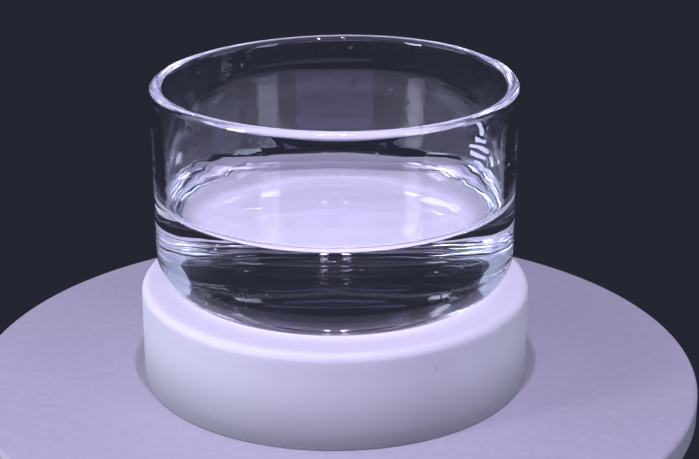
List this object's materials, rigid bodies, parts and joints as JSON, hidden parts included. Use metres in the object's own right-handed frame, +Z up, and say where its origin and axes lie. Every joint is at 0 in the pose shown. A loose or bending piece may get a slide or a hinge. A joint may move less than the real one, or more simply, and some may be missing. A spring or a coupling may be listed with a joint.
{
  "type": "crystallizing dish",
  "caption": "Low flat-bottomed cylindrical glass dish with a beaded rim, part-filled with water, standing loose on a round plastic riser block.",
  "frame": {"origin": "centre of the riser block's underside, on the common axis of block and dish", "axes": "+Z is up along the common axis; +X and +Y are level, and the marking on the dish's wall is 27 degrees from +X towards +Y"},
  "size_m": [0.0762, 0.0762, 0.0597],
  "materials": {
    "riser_plastic": "satin white, slightly translucent",
    "clear_glass": "clear, fire-polished borosilicate glass",
    "water": "clear still water",
    "white_enamel": "fired white enamel"
  },
  "bodies": {
    "riser": {"riser_block": "riser_plastic"},
    "dish": {"glass_dish": "clear_glass", "water": "water", "enamel_marking": "white_enamel"}
  },
  "joints": [
    {"name": "dish_lift", "type": "slide", "parent": "riser", "child": "dish", "axis": [0, 0, 1], "range_m": [0, 0.06]}
  ]
}
